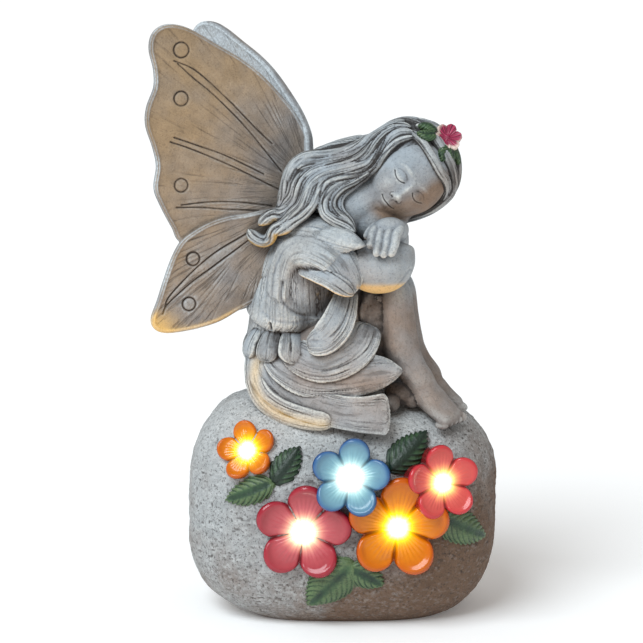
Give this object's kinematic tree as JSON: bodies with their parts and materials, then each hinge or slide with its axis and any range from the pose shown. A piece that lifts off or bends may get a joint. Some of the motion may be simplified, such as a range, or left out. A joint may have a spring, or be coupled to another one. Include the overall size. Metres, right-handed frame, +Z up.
{
  "type": "fairy figurine",
  "caption": "Butterfly-winged fairy asleep over her knees on a rounded boulder with lit blossoms, cast as a stone-look garden figurine.",
  "frame": {"origin": "middle of the boulder's flat underside", "axes": "+Z up, -Y towards the flowers and the viewer, +X to the side that her knees point to, the wings reach to -X"},
  "size_m": [0.1542, 0.1017, 0.2612],
  "materials": {
    "grey_stone_resin": "cast resin with a grey stone look, dark wash in the grooves and pale dry-brushed edges",
    "amber_lens": "translucent, lit from behind",
    "crimson_lens": "translucent, lit from behind",
    "orange_lens": "translucent, lit from behind",
    "blue_lens": "translucent, lit from behind",
    "coral_lens": "translucent, lit from behind"
  },
  "bodies": {
    "root": {"fairy_on_boulder": "grey_stone_resin", "amber_flower_light": "amber_lens", "crimson_flower_light": "crimson_lens", "orange_flower_light": "orange_lens", "blue_flower_light": "blue_lens", "coral_flower_light": "coral_lens"}
  },
  "joints": []
}
